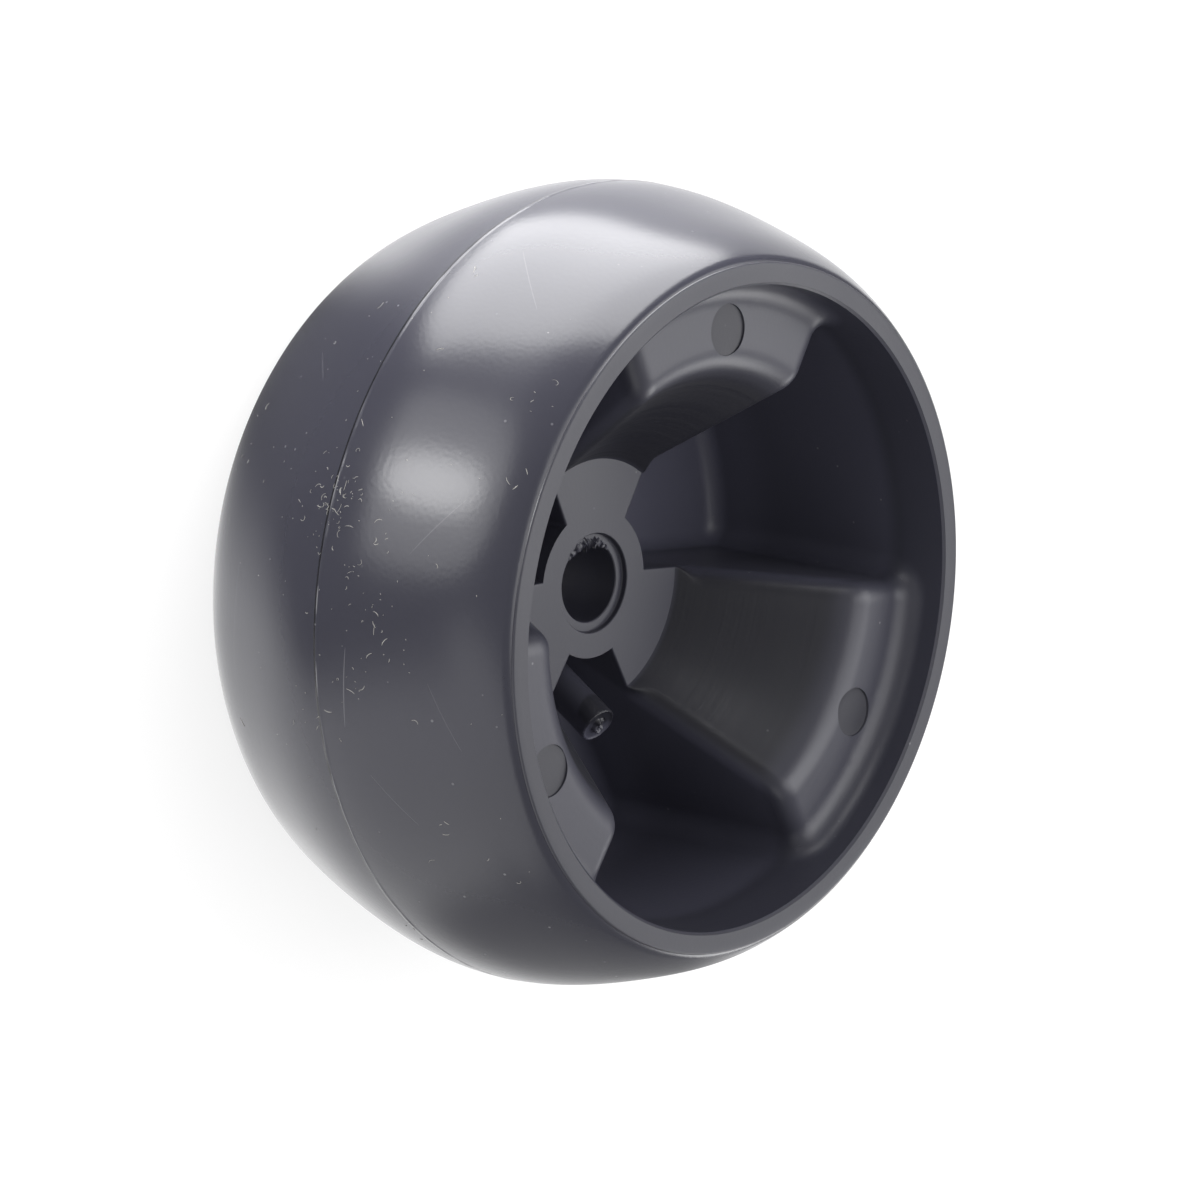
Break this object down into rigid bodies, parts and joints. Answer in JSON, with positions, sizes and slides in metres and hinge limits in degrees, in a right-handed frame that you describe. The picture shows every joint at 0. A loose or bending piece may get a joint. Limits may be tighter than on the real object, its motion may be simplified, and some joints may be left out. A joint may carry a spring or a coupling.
{
  "type": "lawn mower wheel",
  "caption": "One-piece moulded plastic wheel for a mower deck: crowned tread barrel, deep open front with trumpet-shaped web sectors between pockets, and a plain bore for an axle bolt.",
  "frame": {"origin": "middle of the wheel: on the bore's axis, half way across the width", "axes": "+Z along the axis towards the deep open front; +X through the pocket that holds the sprue post"},
  "size_m": [0.1274, 0.1274, 0.0624],
  "materials": {
    "moulding": "satin"
  },
  "bodies": {
    "root": {"wheel": "moulding"}
  },
  "joints": []
}
